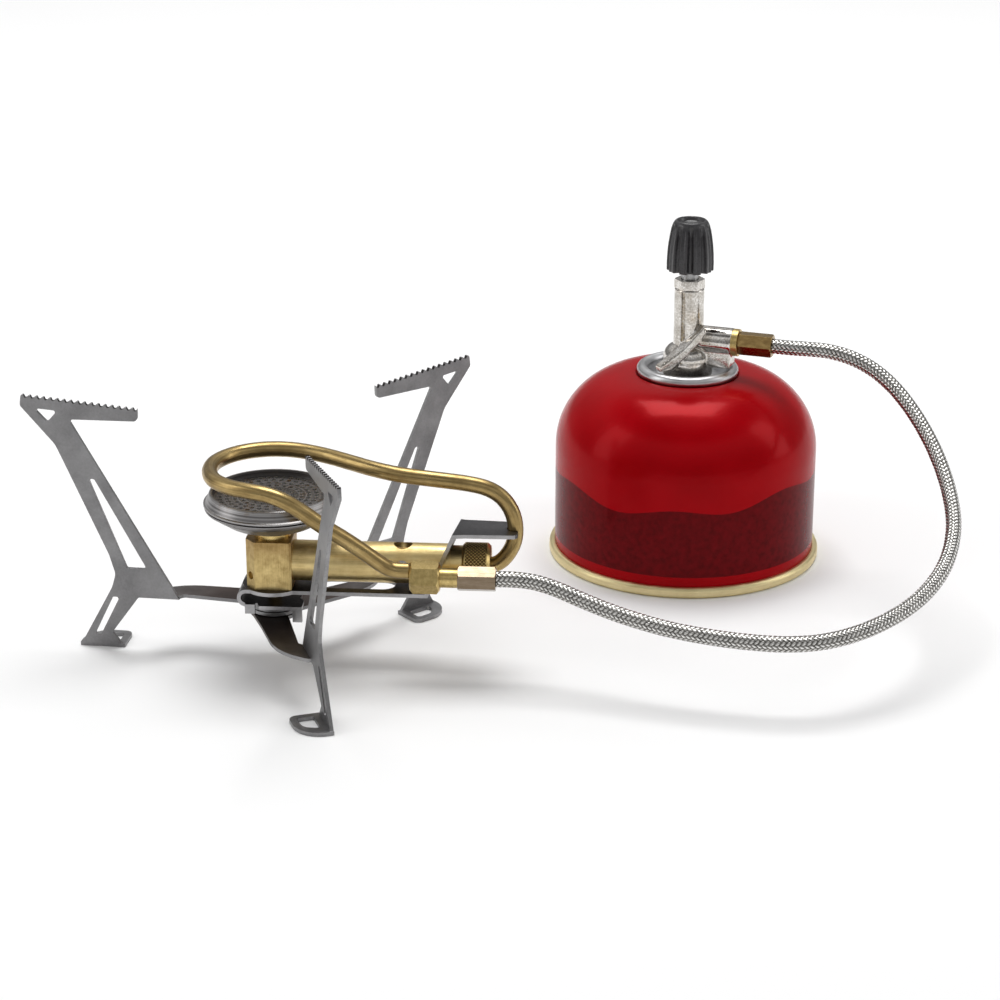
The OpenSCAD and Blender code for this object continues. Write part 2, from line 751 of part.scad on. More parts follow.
// Domed base, seamed onto the wall as a rolled rim.
module canister_base() {
    dome = 104;
    crown = 11;
    color("#b7a468") at_canister() rotate_extrude(convexity = 6) {
        polygon(rounded([
            [can_r - 2.4, 0, 0], [rim_r, 0, 1.2], [rim_r, rim_h, 1.3],
            [can_r + 0.1, rim_h, 0], [can_r + 0.1, 0.9, 0], [can_r - 1.6, 0.9, 0],
            [can_r - 1.6, 2.6, 0], [can_r - 2.4, 2.6, 0]
        ]));
        intersection() {
            difference() {
                translate([0, crown - dome]) circle(r = dome, $fn = 96);
                translate([0, crown - dome]) circle(r = dome - 0.8, $fn = 96);
            }
            translate([0, -1]) square([can_r - 1.6, 20]);
        }
    }
}

module valve_cup() {
    color("#cfcfd1") at_canister() difference() {
        rotate_extrude(convexity = 6) {
            difference() {
                translate([cup_ring_r, cup_ring_z]) circle(r = cup_bead_r, $fn = 48);
                translate([cup_ring_r, cup_ring_z]) circle(r = cup_bead_r - cup_wall, $fn = 48);
                translate([cup_ring_r - 0.2, cup_ring_z - 4]) square([0.8, 4]);
            }
            polygon([
                [cup_ring_r - cup_bead_r, cup_ring_z], [cup_ring_r - cup_bead_r, cup_floor_z],
                [7.4, cup_floor_z], [5.6, 63.4], [5.6, 63], [thread_r, 63], [thread_r, seat_z],
                [4.2, seat_z], [4.2, 63.2], [7, cup_floor_z - cup_wall],
                [cup_ring_r - cup_bead_r + cup_wall, cup_floor_z - cup_wall],
                [cup_ring_r - cup_bead_r + cup_wall, cup_ring_z]
            ]);
            translate([1.9, seat_z - 0.8]) square([3, 0.8]);
        }
    }
}

module cup_gasket() {
    color("#3a3a3a") at_canister() translate([0, 0, 64.05]) difference() {
        cylinder(h = 0.6, r = 15.9);
        translate([0, 0, -1]) cylinder(h = 3, r = 14.95);
    }
}

module gas_valve_housing() {
    color("#d9d6cc") at_canister() rotate_extrude() polygon([
        [2.4, 54], [4.1, 54], [4.1, 68.3], [2.9, 68.3], [2.9, 55.2], [2.4, 55.2]
    ]);
}

module gas_valve_gasket() {
    color("#222222") at_canister() translate([0, 0, 68.35]) difference() {
        cylinder(h = 0.8, r = 4.1);
        translate([0, 0, -1]) cylinder(h = 3, r = 1.85);
    }
}

module gas_valve_stem() {
    color("#e0ddd2") at_canister() difference() {
        union() {
            translate([0, 0, 64]) cylinder(h = 2.5, r = 1.8);
            translate([0, 0, 62.4]) cylinder(h = 1.8, r = 2.75);
        }
        translate([0, 0, 65.4]) cylinder(h = 3, r = 0.5);
    }
}

// Coil spring that pushes the stem up, as a stack of wire rings joined by two struts.
module gas_valve_spring() {
    color("#9c9ca0") at_canister() {
        for (k = [0 : 4])
            translate([0, 0, 55.6 + 1.5 * k]) rotate_extrude()
                translate([2.1, 0]) circle(r = 0.35, $fn = 16);
        for (a = [0, 180])
            rotate(a) translate([2.1, 0, 55.6]) cylinder(h = 6, r = 0.25);
    }
}

leg_left();
leg_front();
leg_back();
bracket();
pivot_stud();
pivot_washer();
pivot_nut();
burner_block();
burner_neck();
burner_bowl();
bowl_nut();
burner_lid();
mixing_tube();
jet();
jet_nut();
preheat_tube();
hose_union();
burner_ferrule();
hose();
valve_ferrule();
outlet_washer();
valve_body();
valve_spindle();
spindle_seal();
packing_nut();
knob();
knob_screw();
pin_depressor();
canister_seal();
canister_body();
canister_base();
valve_cup();
cup_gasket();
gas_valve_housing();
gas_valve_gasket();
gas_valve_stem();
gas_valve_spring();
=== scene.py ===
"""Looks of the canister stove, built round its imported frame. Metres, +Z up."""
import math

import bpy
import numpy as np
from mathutils import Matrix, Vector


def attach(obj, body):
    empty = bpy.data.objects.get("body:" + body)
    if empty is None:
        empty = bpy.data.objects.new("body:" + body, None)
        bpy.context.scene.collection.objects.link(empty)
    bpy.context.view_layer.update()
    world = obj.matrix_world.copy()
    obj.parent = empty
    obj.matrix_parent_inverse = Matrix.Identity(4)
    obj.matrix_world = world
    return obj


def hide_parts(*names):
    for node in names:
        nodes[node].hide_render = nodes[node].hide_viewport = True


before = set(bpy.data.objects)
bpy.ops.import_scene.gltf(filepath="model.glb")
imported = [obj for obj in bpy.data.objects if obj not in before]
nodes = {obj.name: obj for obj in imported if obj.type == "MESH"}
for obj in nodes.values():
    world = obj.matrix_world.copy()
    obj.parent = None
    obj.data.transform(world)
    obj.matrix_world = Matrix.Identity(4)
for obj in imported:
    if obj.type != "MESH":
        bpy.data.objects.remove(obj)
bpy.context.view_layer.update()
scene = bpy.context.scene

MM = 0.001
BURNER = Vector((-0.0477, -0.0367, 0.0))      # the burner's axis on the ground
CANISTER = Vector((0.0793, 0.0623, 0.0))      # the canister's axis on the ground
LEG_AZIMUTH = {"leg_left": 176, "leg_front": 292, "leg_back": 42}  # degrees from +X
SUPPORT_TOP = 0.083           # height of the teeth's crowns at the support's outer end
SUPPORT_REACH = 0.0775        # that end, out from the burner's axis
SUPPORT_FALL = 3 / 36.7       # the crowns' slope down towards the axis


# ---------- camera ----------

def make_camera():
    """The view to match, from in front of the stove and a little above it."""
    data = bpy.data.cameras.new("camera")
    data.lens = 96.4
    data.sensor_width = 36
    data.clip_start = 0.01
    camera = bpy.data.objects.new("camera", data)
    scene.collection.objects.link(camera)
    camera.location = (0.0762, -0.8017, 0.3436)
    look = Vector((-0.0652, 0.9330, -0.3538))
    camera.rotation_euler = look.to_track_quat("-Z", "Y").to_euler()
    scene.camera = camera


make_camera()


# ---------- mesh helpers ----------

def smooth_path(points, steps):
    """A smooth curve through every point of a route, with some steps from each to the next."""
    p = np.array(points, float)
    found = []
    for i in range(len(p) - 1):
        a, b, c, d = p[max(i - 1, 0)], p[i], p[i + 1], p[min(i + 2, len(p) - 1)]
        for k in range(steps):
            t = k / steps
            found.append((2 * b + (c - a) * t + (2 * a - 5 * b + 4 * c - d) * t * t
                          + (3 * b - a - 3 * c + d) * t ** 3) / 2)
    found.append(p[-1])
    return np.array(found)


def even_path(points, spacing):
    """The same curve in even steps, and each point's distance along it."""
    run = np.concatenate([[0], np.cumsum(np.linalg.norm(np.diff(points, axis=0), axis=1))])
    count = max(2, int(round(run[-1] / spacing)) + 1)
    at = np.linspace(0, run[-1], count)
    return np.stack([np.interp(at, run, points[:, k]) for k in range(3)], axis=1), at


def path_frames(path):
    """Heading and two side vectors at each point, carried along without twist."""
    heading = np.gradient(path, axis=0)
    heading /= np.linalg.norm(heading, axis=1)[:, None]
    side = np.zeros_like(path)
    guess = np.array([0.0, 0.0, 1.0])
    if abs(heading[0] @ guess) > 0.9:
        guess = np.array([1.0, 0.0, 0.0])
    for i, h in enumerate(heading):
        guess = guess - (guess @ h) * h
        guess /= np.linalg.norm(guess)
        side[i] = guess
    return heading, side, np.cross(heading, side)


def grid_mesh(name, grid, wrap=True, caps=(), attributes=None):
    """Mesh from rows of points. wrap joins each row's ends; caps closes the named ends."""
    rows, columns = grid.shape[:2]
    index = np.arange(rows * columns).reshape(rows, columns)
    right = np.roll(index, -1, axis=1) if wrap else index[:, 1:]
    left = index if wrap else index[:, :-1]
    quads = np.stack([left[:-1], right[:-1], right[1:], left[1:]], axis=-1).reshape(-1, 4)
    faces = [tuple(q) for q in quads.tolist()]
    if "first" in caps:
        faces.append(tuple(index[0][::-1].tolist()))
    if "last" in caps:
        faces.append(tuple(index[-1].tolist()))
    mesh = bpy.data.meshes.new(name)
    mesh.from_pydata([tuple(v) for v in grid.reshape(-1, 3).tolist()], [], faces)
    for key, values in (attributes or {}).items():
        vector = values.ndim == 3
        kind = "FLOAT_VECTOR" if vector else "FLOAT"
        field = mesh.attributes.new(key, kind, "POINT")
        field.data.foreach_set("vector" if vector else "value",
                               values.reshape(-1).astype(np.float32))
    mesh.polygons.foreach_set("use_smooth", [len(f) == 4 for f in faces])
    mesh.update()
    piece = bpy.data.objects.new(name, mesh)
    scene.collection.objects.link(piece)
    return piece


def sweep(name, path, along, radius, sides, lift=None, attributes=None):
    """Tube round a path. lift(s, angle) gives how far the skin stands proud."""
    heading, side, other = path_frames(path)
    angle = np.linspace(0, 2 * math.pi, sides, endpoint=False)
    s, turn = np.meshgrid(along, angle, indexing="ij")
    r = radius + (lift(s, turn) if lift else np.zeros_like(s))
    grid = (path[:, None, :] + r[..., None] * (np.cos(turn)[..., None] * side[:, None, :]
                                               + np.sin(turn)[..., None] * other[:, None, :]))
    flow = np.stack([s, radius * np.cos(turn), radius * np.sin(turn)], axis=-1)
    fields = {"flow": flow}
    fields.update(attributes(s, turn) if attributes else {})
    return grid_mesh(name, grid, True, ("first", "last"), fields)


WELD_GAP = 0.002              # millimetres between corners that are one
FLAT_ANGLE = 0.4              # degrees between triangles of one flat face
SHARP_ANGLE = 35              # degrees of turn that make an edge


def soften(piece, width):
    """Rounds a CAD node's sharp edges, by modifiers alone; the width is in millimetres."""
    weld = piece.modifiers.new("weld", "WELD")
    weld.merge_threshold = WELD_GAP * MM
    flats = piece.modifiers.new("flats", "DECIMATE")
    flats.decimate_type = "DISSOLVE"
    flats.angle_limit = math.radians(FLAT_ANGLE)
    flats.delimit = {"MATERIAL"}
    bevel = piece.modifiers.new("edge", "BEVEL")
    bevel.width = width * MM
    bevel.segments = 2
    bevel.limit_method = "ANGLE"
    bevel.angle_limit = math.radians(SHARP_ANGLE)
    bevel.use_clamp_overlap = True
    bevel.harden_normals = True
    normals = piece.data.attributes.get("custom_normal")
    if normals:
        piece.data.attributes.remove(normals)
    piece.data.polygons.foreach_set("use_smooth", [True] * len(piece.data.polygons))


# ---------- material helpers ----------

class Paint:
    """A material under construction: short calls that add and link nodes."""

    SOCKETS = {"color": "Base Color", "metal": "Metallic", "rough": "Roughness",
               "specular": "Specular IOR Level", "coat": "Coat Weight",
               "coat_rough": "Coat Roughness"}

    def __init__(self, name):
        self.material = bpy.data.materials.new(name)
        self.material.use_nodes = True
        self.tree = self.material.node_tree
        self.shader = self.tree.nodes["Principled BSDF"]
        self.place = None

    def node(self, kind, **settings):
        """A new node with its settings."""
        made = self.tree.nodes.new(kind)
        for key, value in settings.items():
            setattr(made, key, value)
        return made

    def link(self, source, target):
        self.tree.links.new(source, target)

    def feed(self, socket, value):
        """Links an output to a socket, or gives the socket a constant."""
        if isinstance(value, bpy.types.NodeSocket):
            self.link(value, socket)
        else:
            socket.default_value = value

    def set(self, **values):
        """Feeds the shader's sockets, each named by a key of SOCKETS."""
        for key, value in values.items():
            if isinstance(value, tuple):
                value = (*value, 1.0)
            self.feed(self.shader.inputs[self.SOCKETS[key]], value)

    def position(self):
        """The object's coordinates, in metres."""
        if self.place is None:
            self.place = self.node("ShaderNodeTexCoord").outputs["Object"]
        return self.place

    def attribute(self, name, output="Fac"):
        """A value that the mesh carries at each point."""
        return self.node("ShaderNodeAttribute", attribute_name=name).outputs[output]

    def scaled(self, vector, scale, offset=(0, 0, 0)):
        """A vector times a scale, plus an offset."""
        made = self.node("ShaderNodeMapping")
        self.link(vector, made.inputs["Vector"])
        made.inputs["Scale"].default_value = scale
        made.inputs["Location"].default_value = offset
        return made.outputs["Vector"]

    def split(self, vector):
        """A vector's three parts, X, Y and Z."""
        made = self.node("ShaderNodeSeparateXYZ")
        self.link(vector, made.inputs[0])
        return made.outputs

    def measured_from(self, centre):
        """The object's coordinates, counted from a point."""
        return self.scaled(self.position(), (1, 1, 1), tuple(-c for c in centre))

    def noise(self, scale, detail=3.0, rough=0.55, vector=None, offset=(0, 0, 0)):
        """Noise in features per metre: one scale for all axes, or one for each."""
        if not isinstance(scale, tuple):
            scale = (scale, scale, scale)
        made = self.node("ShaderNodeTexNoise")
        made.inputs["Scale"].default_value = 1.0
        made.inputs["Detail"].default_value = detail
        made.inputs["Roughness"].default_value = rough
        self.link(self.scaled(vector or self.position(), scale, offset), made.inputs["Vector"])
        return made.outputs["Fac"]

    def math(self, operation, a, b=0.0, c=None):
        """One sum on outputs or constants."""
        made = self.node("ShaderNodeMath", operation=operation)
        self.feed(made.inputs[0], a)
        self.feed(made.inputs[1], b)
        if c is not None:
            self.feed(made.inputs[2], c)
        return made.outputs[0]

    def sum_of(self, a, a_share, b, b_share):
        """Two values added in the given shares."""
        return self.math("ADD", self.math("MULTIPLY", a, a_share),
                         self.math("MULTIPLY", b, b_share))

    def span(self, value, low, high, to_low, to_high):
        """Straight line from (low, to_low) to (high, to_high), clamped at both ends."""
        made = self.node("ShaderNodeMapRange")
        self.link(value, made.inputs["Value"])
        for key, number in zip(("From Min", "From Max", "To Min", "To Max"),
                               (low, high, to_low, to_high)):
            made.inputs[key].default_value = number
        return made.outputs["Result"]

    def step(self, value, low, high):
        """0 below low, 1 above high, smooth between."""
        made = self.node("ShaderNodeMapRange", interpolation_type="SMOOTHSTEP")
        self.feed(made.inputs["Value"], value)
        made.inputs["From Min"].default_value = low
        made.inputs["From Max"].default_value = high
        return made.outputs["Result"]

    def ramp(self, value, *stops):
        """A colour from a value, through (value, colour) stops."""
        made = self.node("ShaderNodeValToRGB")
        self.link(value, made.inputs["Fac"])
        ramp = made.color_ramp
        while len(ramp.elements) < len(stops):
            ramp.elements.new(0.5)
        for element, (at, color) in zip(ramp.elements, stops):
            element.position = at
            element.color = (*color, 1.0)
        return made.outputs["Color"]

    def blend(self, factor, a, b, kind="MIX"):
        """Two colours mixed, or multiplied where kind says so."""
        made = self.node("ShaderNodeMix", data_type="RGBA", blend_type=kind)
        self.feed(made.inputs[0], factor)
        for socket, value in ((made.inputs[6], a), (made.inputs[7], b)):
            self.feed(socket, (*value, 1.0) if isinstance(value, tuple) else value)
        return made.outputs[2]

    def bump(self, *layers):
        """Stacked bumps: each layer is (height, depth in millimetres, strength)."""
        normal = None
        for height, depth, strength in layers:
            made = self.node("ShaderNodeBump")
            made.inputs["Strength"].default_value = strength
            made.inputs["Distance"].default_value = depth * MM
            self.link(height, made.inputs["Height"])
            if normal is not None:
                self.link(normal, made.inputs["Normal"])
            normal = made.outputs["Normal"]
        self.link(normal, self.shader.inputs["Normal"])

    def height(self):
        """Height above the floor."""
        return self.split(self.position())["Z"]


def brushed_metal(name, shades, streak, rough, depth, flow=False, patina=0.35, blotch=220):
    """Metal with streaks along one direction and a blotchy patina, in three shades."""
    dark, mid, light = shades
    p = Paint(name)
    where = p.attribute("flow", "Vector") if flow else p.position()
    lines = p.noise(streak, 4, 0.6, where)
    fine = p.noise(tuple(3.1 * k for k in streak), 2, 0.5, where)
    cloud = p.noise(blotch, 4, 0.62)
    tone = p.sum_of(lines, 1 - patina, cloud, patina)
    p.set(metal=1.0, color=p.ramp(tone, (0.3, dark), (0.5, mid), (0.68, light)),
          rough=p.span(cloud, 0.3, 0.75, rough[1], rough[0]))
    p.bump((lines, depth, 0.5), (fine, depth * 0.5, 0.4))
    return p


def spun_rings(p, centre, per_metre):
    """Noise that depends only on height and distance from an axis, as turning leaves it."""
    x, y, height = p.split(p.measured_from(centre))
    radius = p.math("SQRT", p.math("ADD", p.math("MULTIPLY", x, x), p.math("MULTIPLY", y, y)))
    joined = p.node("ShaderNodeCombineXYZ")
    p.link(p.math("MULTIPLY", radius, per_metre), joined.inputs[0])
    p.link(p.math("MULTIPLY", height, per_metre), joined.inputs[1])
    made = p.node("ShaderNodeTexNoise")
    made.inputs["Scale"].default_value = 1.0
    made.inputs["Detail"].default_value = 3.0
    p.link(joined.outputs[0], made.inputs["Vector"])
    return made.outputs["Fac"]


# ---------- materials ----------

tube_brass = brushed_metal(
    "tube_brass", ((0.55, 0.40, 0.165), (0.76, 0.585, 0.27), (0.88, 0.71, 0.35)),
    streak=(70, 2400, 2400), rough=(0.3, 0.46), depth=0.012, patina=0.5)
block_brass = brushed_metal(
    "block_brass", ((0.40, 0.28, 0.11), (0.60, 0.45, 0.195), (0.74, 0.58, 0.27)),
    streak=(2600, 2600, 160), rough=(0.34, 0.5), depth=0.012, patina=0.6, blotch=420)
drawn_brass = brushed_metal(
    "drawn_brass", ((0.19, 0.125, 0.05), (0.36, 0.255, 0.105), (0.52, 0.39, 0.175)),
    streak=(60, 1900, 1900), rough=(0.24, 0.4), depth=0.016, flow=True, patina=0.4)
hex_brass = brushed_metal(
    "hex_brass", ((0.38, 0.27, 0.10), (0.55, 0.41, 0.165), (0.68, 0.53, 0.23)),
    streak=(1500, 900, 900), rough=(0.26, 0.4), depth=0.008, patina=0.6, blotch=700)
neck_brass = brushed_metal(
    "neck_brass", ((0.40, 0.28, 0.10), (0.58, 0.43, 0.17), (0.70, 0.54, 0.24)),
    streak=(300, 300, 3000), rough=(0.2, 0.32), depth=0.012)
brown_brass = brushed_metal(
    "brown_brass", ((0.17, 0.105, 0.04), (0.31, 0.205, 0.08), (0.46, 0.32, 0.13)),
    streak=(300, 900, 900), rough=(0.22, 0.36), depth=0.01)
pale_ferrule = brushed_metal(
    "pale_ferrule", ((0.15, 0.11, 0.072), (0.20, 0.152, 0.105), (0.26, 0.205, 0.15)),
    streak=(200, 1500, 1500), rough=(0.1, 0.16), depth=0.006)


def knurl_shaded_finish():
    """Knurled brass, darker down in the grooves: painted shade that deepens with the groove's
    depth, lighter on the ridges.
    """
    p = Paint("knurled_brass")
    floor, crest = -0.26, -0.03  # of the grooves, in millimetres
    fine = p.noise(1200, 3, 0.6)
    # painted shade: 0 on the groove floors, 1 on the crests
    clear_of_groove_shade = p.span(p.attribute("groove"), floor, crest, 0.0, 1.0)
    tone = p.sum_of(clear_of_groove_shade, 0.85, fine, 0.15)
    color = p.ramp(tone, (0.1, (0.10, 0.055, 0.02)), (0.55, (0.36, 0.24, 0.09)),
                   (0.9, (0.62, 0.46, 0.19)))
    p.set(metal=1.0, color=color, rough=p.span(fine, 0.3, 0.7, 0.26, 0.4))
    p.bump((fine, 0.02, 0.3))
    return p


knurled_brass = knurl_shaded_finish()


def darken_top(p, low, high, factor):
    """A darker, browner zone towards the top that grows from one height to another, with a cloudy
    edge.
    """
    ragged = 0.004
    height = p.math("ADD", p.height(), p.math("MULTIPLY", p.noise(400), ragged))
    zone = p.step(height, low + ragged / 2, high + ragged / 2)
    source = p.shader.inputs["Base Color"].links[0].from_socket
    shade = p.blend(zone, (1.0, 1.0, 1.0), factor)
    p.link(p.blend(1.0, source, shade, "MULTIPLY"), p.shader.inputs["Base Color"])


# the burner block darker towards its top, under the burner bowl
darken_top(block_brass, 0.030, 0.043, (0.55, 0.47, 0.42))


def heat_tint(p, color, cloud, tint):
    """Colours steel towards the burner's axis."""
    hot, cold, ragged = 0.022, 0.044, 0.012
    flat = p.node("ShaderNodeVectorMath", operation="MULTIPLY")
    p.link(p.measured_from(BURNER), flat.inputs[0])
    flat.inputs[1].default_value = (1, 1, 0)
    length = p.node("ShaderNodeVectorMath", operation="LENGTH")
    p.link(flat.outputs[0], length.inputs[0])
    out = p.math("ADD", length.outputs["Value"], p.math("MULTIPLY", cloud, ragged))
    return p.blend(p.step(out, cold, hot), color, p.blend(1.0, color, tint, "MULTIPLY"))


def steel_sheet(name, dark, light, tint=None):
    """Stamped stainless sheet: mottled satin with faint rolling marks."""
    p = Paint(name)
    mottle = p.noise(1300, 5, 0.7)
    cloud = p.noise(90, 3, 0.6)
    rolling = p.noise((120, 120, 2400), 2, 0.5)
    color = p.ramp(p.sum_of(mottle, 0.4, cloud, 0.6), (0.34, dark), (0.66, light))
    if tint:
        color = heat_tint(p, color, cloud, tint)
    p.set(metal=1.0, color=color, rough=p.span(mottle, 0.3, 0.7, 0.34, 0.5))
    p.bump((mottle, 0.02, 0.35), (rolling, 0.01, 0.3))
    return p


LEG_STEEL = ((0.175, 0.172, 0.175), (0.30, 0.297, 0.30))
leg_face = steel_sheet("leg_face", *LEG_STEEL)
front_leg_face = steel_sheet("front_leg_face", *LEG_STEEL, (0.34, 0.27, 0.24))
# painted shade: a darker copy of the leg steel for the arms' level faces, heat-tinted towards the
# burner's axis
shaded_arm_top = steel_sheet("shaded_arm_top", (0.085, 0.078, 0.077), (0.19, 0.175, 0.17), (0.5, 0.4, 0.36))
leg_edge = steel_sheet("leg_edge", (0.19, 0.188, 0.19), (0.36, 0.358, 0.36))
crown_steel = steel_sheet("crown_steel", (0.34, 0.335, 0.34), (0.56, 0.555, 0.56))
# painted shade: a near-black copy of the steel for the teeth's flanks and roots and for the bowl's
# inside under the lid
painted_shade_steel = steel_sheet("painted_shade_steel", (0.022, 0.02, 0.02), (0.06, 0.056, 0.056))
cut_edge = steel_sheet("cut_edge", (0.30, 0.295, 0.30), (0.50, 0.495, 0.50))
plated = steel_sheet("plated", (0.34, 0.34, 0.34), (0.5, 0.5, 0.5))


def bracket_finish():
    """Dark oxide low down near the hub, turning to lighter grey steel higher up, at the raised
    clip.
    """
    p = Paint("bracket_face")
    grey_from, grey_to, ragged = 0.030, 0.040, 0.004
    cloud = p.noise(300, 5, 0.65)
    fine = p.noise(1500, 3, 0.6)
    height = p.math("ADD", p.height(), p.math("MULTIPLY", cloud, ragged))
    # darker low down, lighter grey higher up, with a cloudy edge
    zone = p.step(height, grey_from, grey_to)
    dark = p.ramp(cloud, (0.35, (0.022, 0.019, 0.020)), (0.7, (0.060, 0.050, 0.048)))
    grey = p.ramp(fine, (0.3, (0.07, 0.068, 0.071)), (0.7, (0.13, 0.127, 0.131)))
    p.set(metal=1.0, color=p.blend(zone, dark, grey), rough=p.span(fine, 0.3, 0.7, 0.3, 0.45))
    p.bump((fine, 0.015, 0.35))
    return p


bracket_face = bracket_finish()


def burner_finish(name, dark, light, brown):
    """Spun steel with turning rings and patches of heat tint."""
    p = Paint(name)
    rings = spun_rings(p, BURNER, 2600)
    cloud = p.noise(330, 4, 0.6, None, (3.1, 1.7, 0.4))
    base = p.ramp(rings, (0.35, dark), (0.65, light))
    warm = p.step(cloud, 0.52, 0.72)
    p.set(metal=1.0, color=p.blend(warm, base, p.blend(1.0, base, brown, "MULTIPLY")),
          rough=p.span(rings, 0.3, 0.7, 0.3, 0.46))
    p.bump((rings, 0.05, 0.5))
    return p


bowl_finish = burner_finish("bowl_finish", (0.17, 0.162, 0.16), (0.36, 0.35, 0.348),
                            (0.85, 0.78, 0.72))
skirt_finish = burner_finish("skirt_finish", (0.17, 0.163, 0.162), (0.44, 0.43, 0.428),
                             (0.88, 0.82, 0.77))
lid_finish = burner_finish("lid_finish", (0.10, 0.094, 0.094), (0.25, 0.24, 0.24),
                           (0.9, 0.7, 0.55))
# painted highlight: the walls of the lid's ports near white, as bright crescents
port_highlight_finish = burner_finish("port_highlight_finish", (0.7, 0.68, 0.66), (1.0, 0.99, 0.97),
                            (1.0, 0.7, 0.42))


def cast_finish():
    """Bright nickel over a slightly rough casting."""
    p = Paint("nickel")
    grain = p.noise(1700, 3, 0.6)
    lumps = p.noise(260, 3, 0.5)
    warm = p.step(p.noise(120, 2, 0.5, None, (1.0, 2.0, 0.0)), 0.5, 0.8)
    base = p.ramp(p.sum_of(grain, 0.6, lumps, 0.4), (0.38, (0.36, 0.33, 0.29)),
                  (0.5, (0.55, 0.52, 0.48)), (0.62, (0.80, 0.78, 0.75)))
    yellowed = p.blend(1.0, base, (0.93, 0.84, 0.72), "MULTIPLY")
    p.set(metal=1.0, color=p.blend(warm, base, yellowed), rough=p.span(grain, 0.3, 0.7, 0.05, 0.13))
    p.bump((lumps, 0.14, 0.5), (grain, 0.04, 0.5))
    return p


nickel = cast_finish()


def plastic_finish():
    """Dark moulded plastic with a little dust."""
    p = Paint("knob_plastic")
    grain = p.noise(2600, 3, 0.6)
    dust = p.noise(300, 4, 0.6)
    p.set(color=p.ramp(dust, (0.35, (0.022, 0.021, 0.023)), (0.75, (0.040, 0.038, 0.041))),
          rough=p.span(grain, 0.3, 0.7, 0.24, 0.36), specular=0.6)
    p.bump((grain, 0.02, 0.4))
    return p


knob_plastic = plastic_finish()


def moulded_finish(name, scale, dark, light, rough, depth, strength):
    """Plain rubber or plastic with a fine grain."""
    p = Paint(name)
    grain = p.noise(scale, 3, 0.6)
    p.set(color=p.ramp(grain, (0.3, dark), (0.7, light)), rough=p.span(grain, 0.3, 0.7, *rough))
    p.bump((grain, depth, strength))
    return p


rubber = moulded_finish("rubber", 2000, (0.010, 0.010, 0.010), (0.022, 0.022, 0.022),
                        (0.6, 0.8), 0.03, 0.4)
white_plastic = moulded_finish("valve_plastic", 900, (0.62, 0.60, 0.55), (0.72, 0.70, 0.65),
                               (0.4, 0.55), 0.02, 0.3)


def waves_round(p, angle, count, phase, height):
    """A sine wave that runs round the canister a whole number of times."""
    return p.math("MULTIPLY", p.math("SINE", p.math("MULTIPLY_ADD", angle, count, phase)), height)


def lacquer_finish():
    """Glossy red lacquer with a deeper zone low on the wall, under a wavy edge."""
    p = Paint("red_lacquer")
    zone_top, zone_foot = (0.0306, 0.0311), (0.0066, 0.0070)
    x, y, height = p.split(p.measured_from(CANISTER))
    angle = p.math("ARCTAN2", y, x)
    wave = waves_round(p, angle, 7.0, 0.6, 0.0013)
    swell = waves_round(p, angle, 2.0, 2.2, 0.0022)
    edge = p.math("SUBTRACT", height, p.math("ADD", wave, swell))
    below_top = p.math("SUBTRACT", 1.0, p.step(edge, *zone_top))
    zone = p.math("MULTIPLY", below_top, p.step(height, *zone_foot))
    grain = p.noise(500, 3, 0.6)
    tone = p.noise(60, 2, 0.5)
    red = p.ramp(tone, (0.3, (0.33, 0.0004, 0.003)), (0.7, (0.385, 0.0006, 0.004)))
    deep = p.ramp(grain, (0.3, (0.09, 0.0014, 0.0025)), (0.7, (0.15, 0.0022, 0.0045)))
    p.set(color=p.blend(zone, red, deep), metal=0.12, specular=0.05,
          rough=p.span(tone, 0.3, 0.7, 0.2, 0.26), coat=0.03, coat_rough=0.04)
    p.bump((p.noise(160, 2, 0.5), 0.03, 0.1))
    return p


lacquer = lacquer_finish()


def rolled_finish(name, dark, light, rough, centre):
    """Bright rolled metal with faint turning lines round an axis."""
    p = Paint(name)
    rings = spun_rings(p, centre, 1600)
    cloud = p.noise(150, 4, 0.6)
    tone = p.sum_of(rings, 0.5, cloud, 0.5)
    p.set(metal=1.0, color=p.ramp(tone, (0.36, dark), (0.64, light)),
          rough=p.span(cloud, 0.3, 0.7, *rough))
    p.bump((rings, 0.02, 0.3))
    return p


rim_gold = rolled_finish("rim_gold", (0.74, 0.62, 0.33), (0.90, 0.78, 0.46), (0.34, 0.46),
                         CANISTER)
cup_metal = rolled_finish("cup_metal", (0.46, 0.46, 0.465), (0.68, 0.68, 0.69), (0.28, 0.4),
                          CANISTER)


def braid_shaded_finish():
    """Stainless wires by their height in the braid: painted shade in the gaps between the crossing
    strands, painted highlight on the crowns.
    """
    p = Paint("braid")
    high = p.attribute("braid")
    fine = p.noise(1800, 2, 0.5)
    # painted shade low, painted highlight high, by the strands' height
    color = p.ramp(p.sum_of(high, 0.9, fine, 0.12), (0.28, (0.028, 0.026, 0.023)),
                   (0.58, (0.36, 0.35, 0.33)), (0.88, (0.92, 0.91, 0.89)))
    p.set(metal=1.0, color=color, rough=p.span(high, 0.2, 0.9, 0.45, 0.2))
    p.bump((fine, 0.02, 0.3))
    return p


braid = braid_shaded_finish()


# ---------- hose ----------

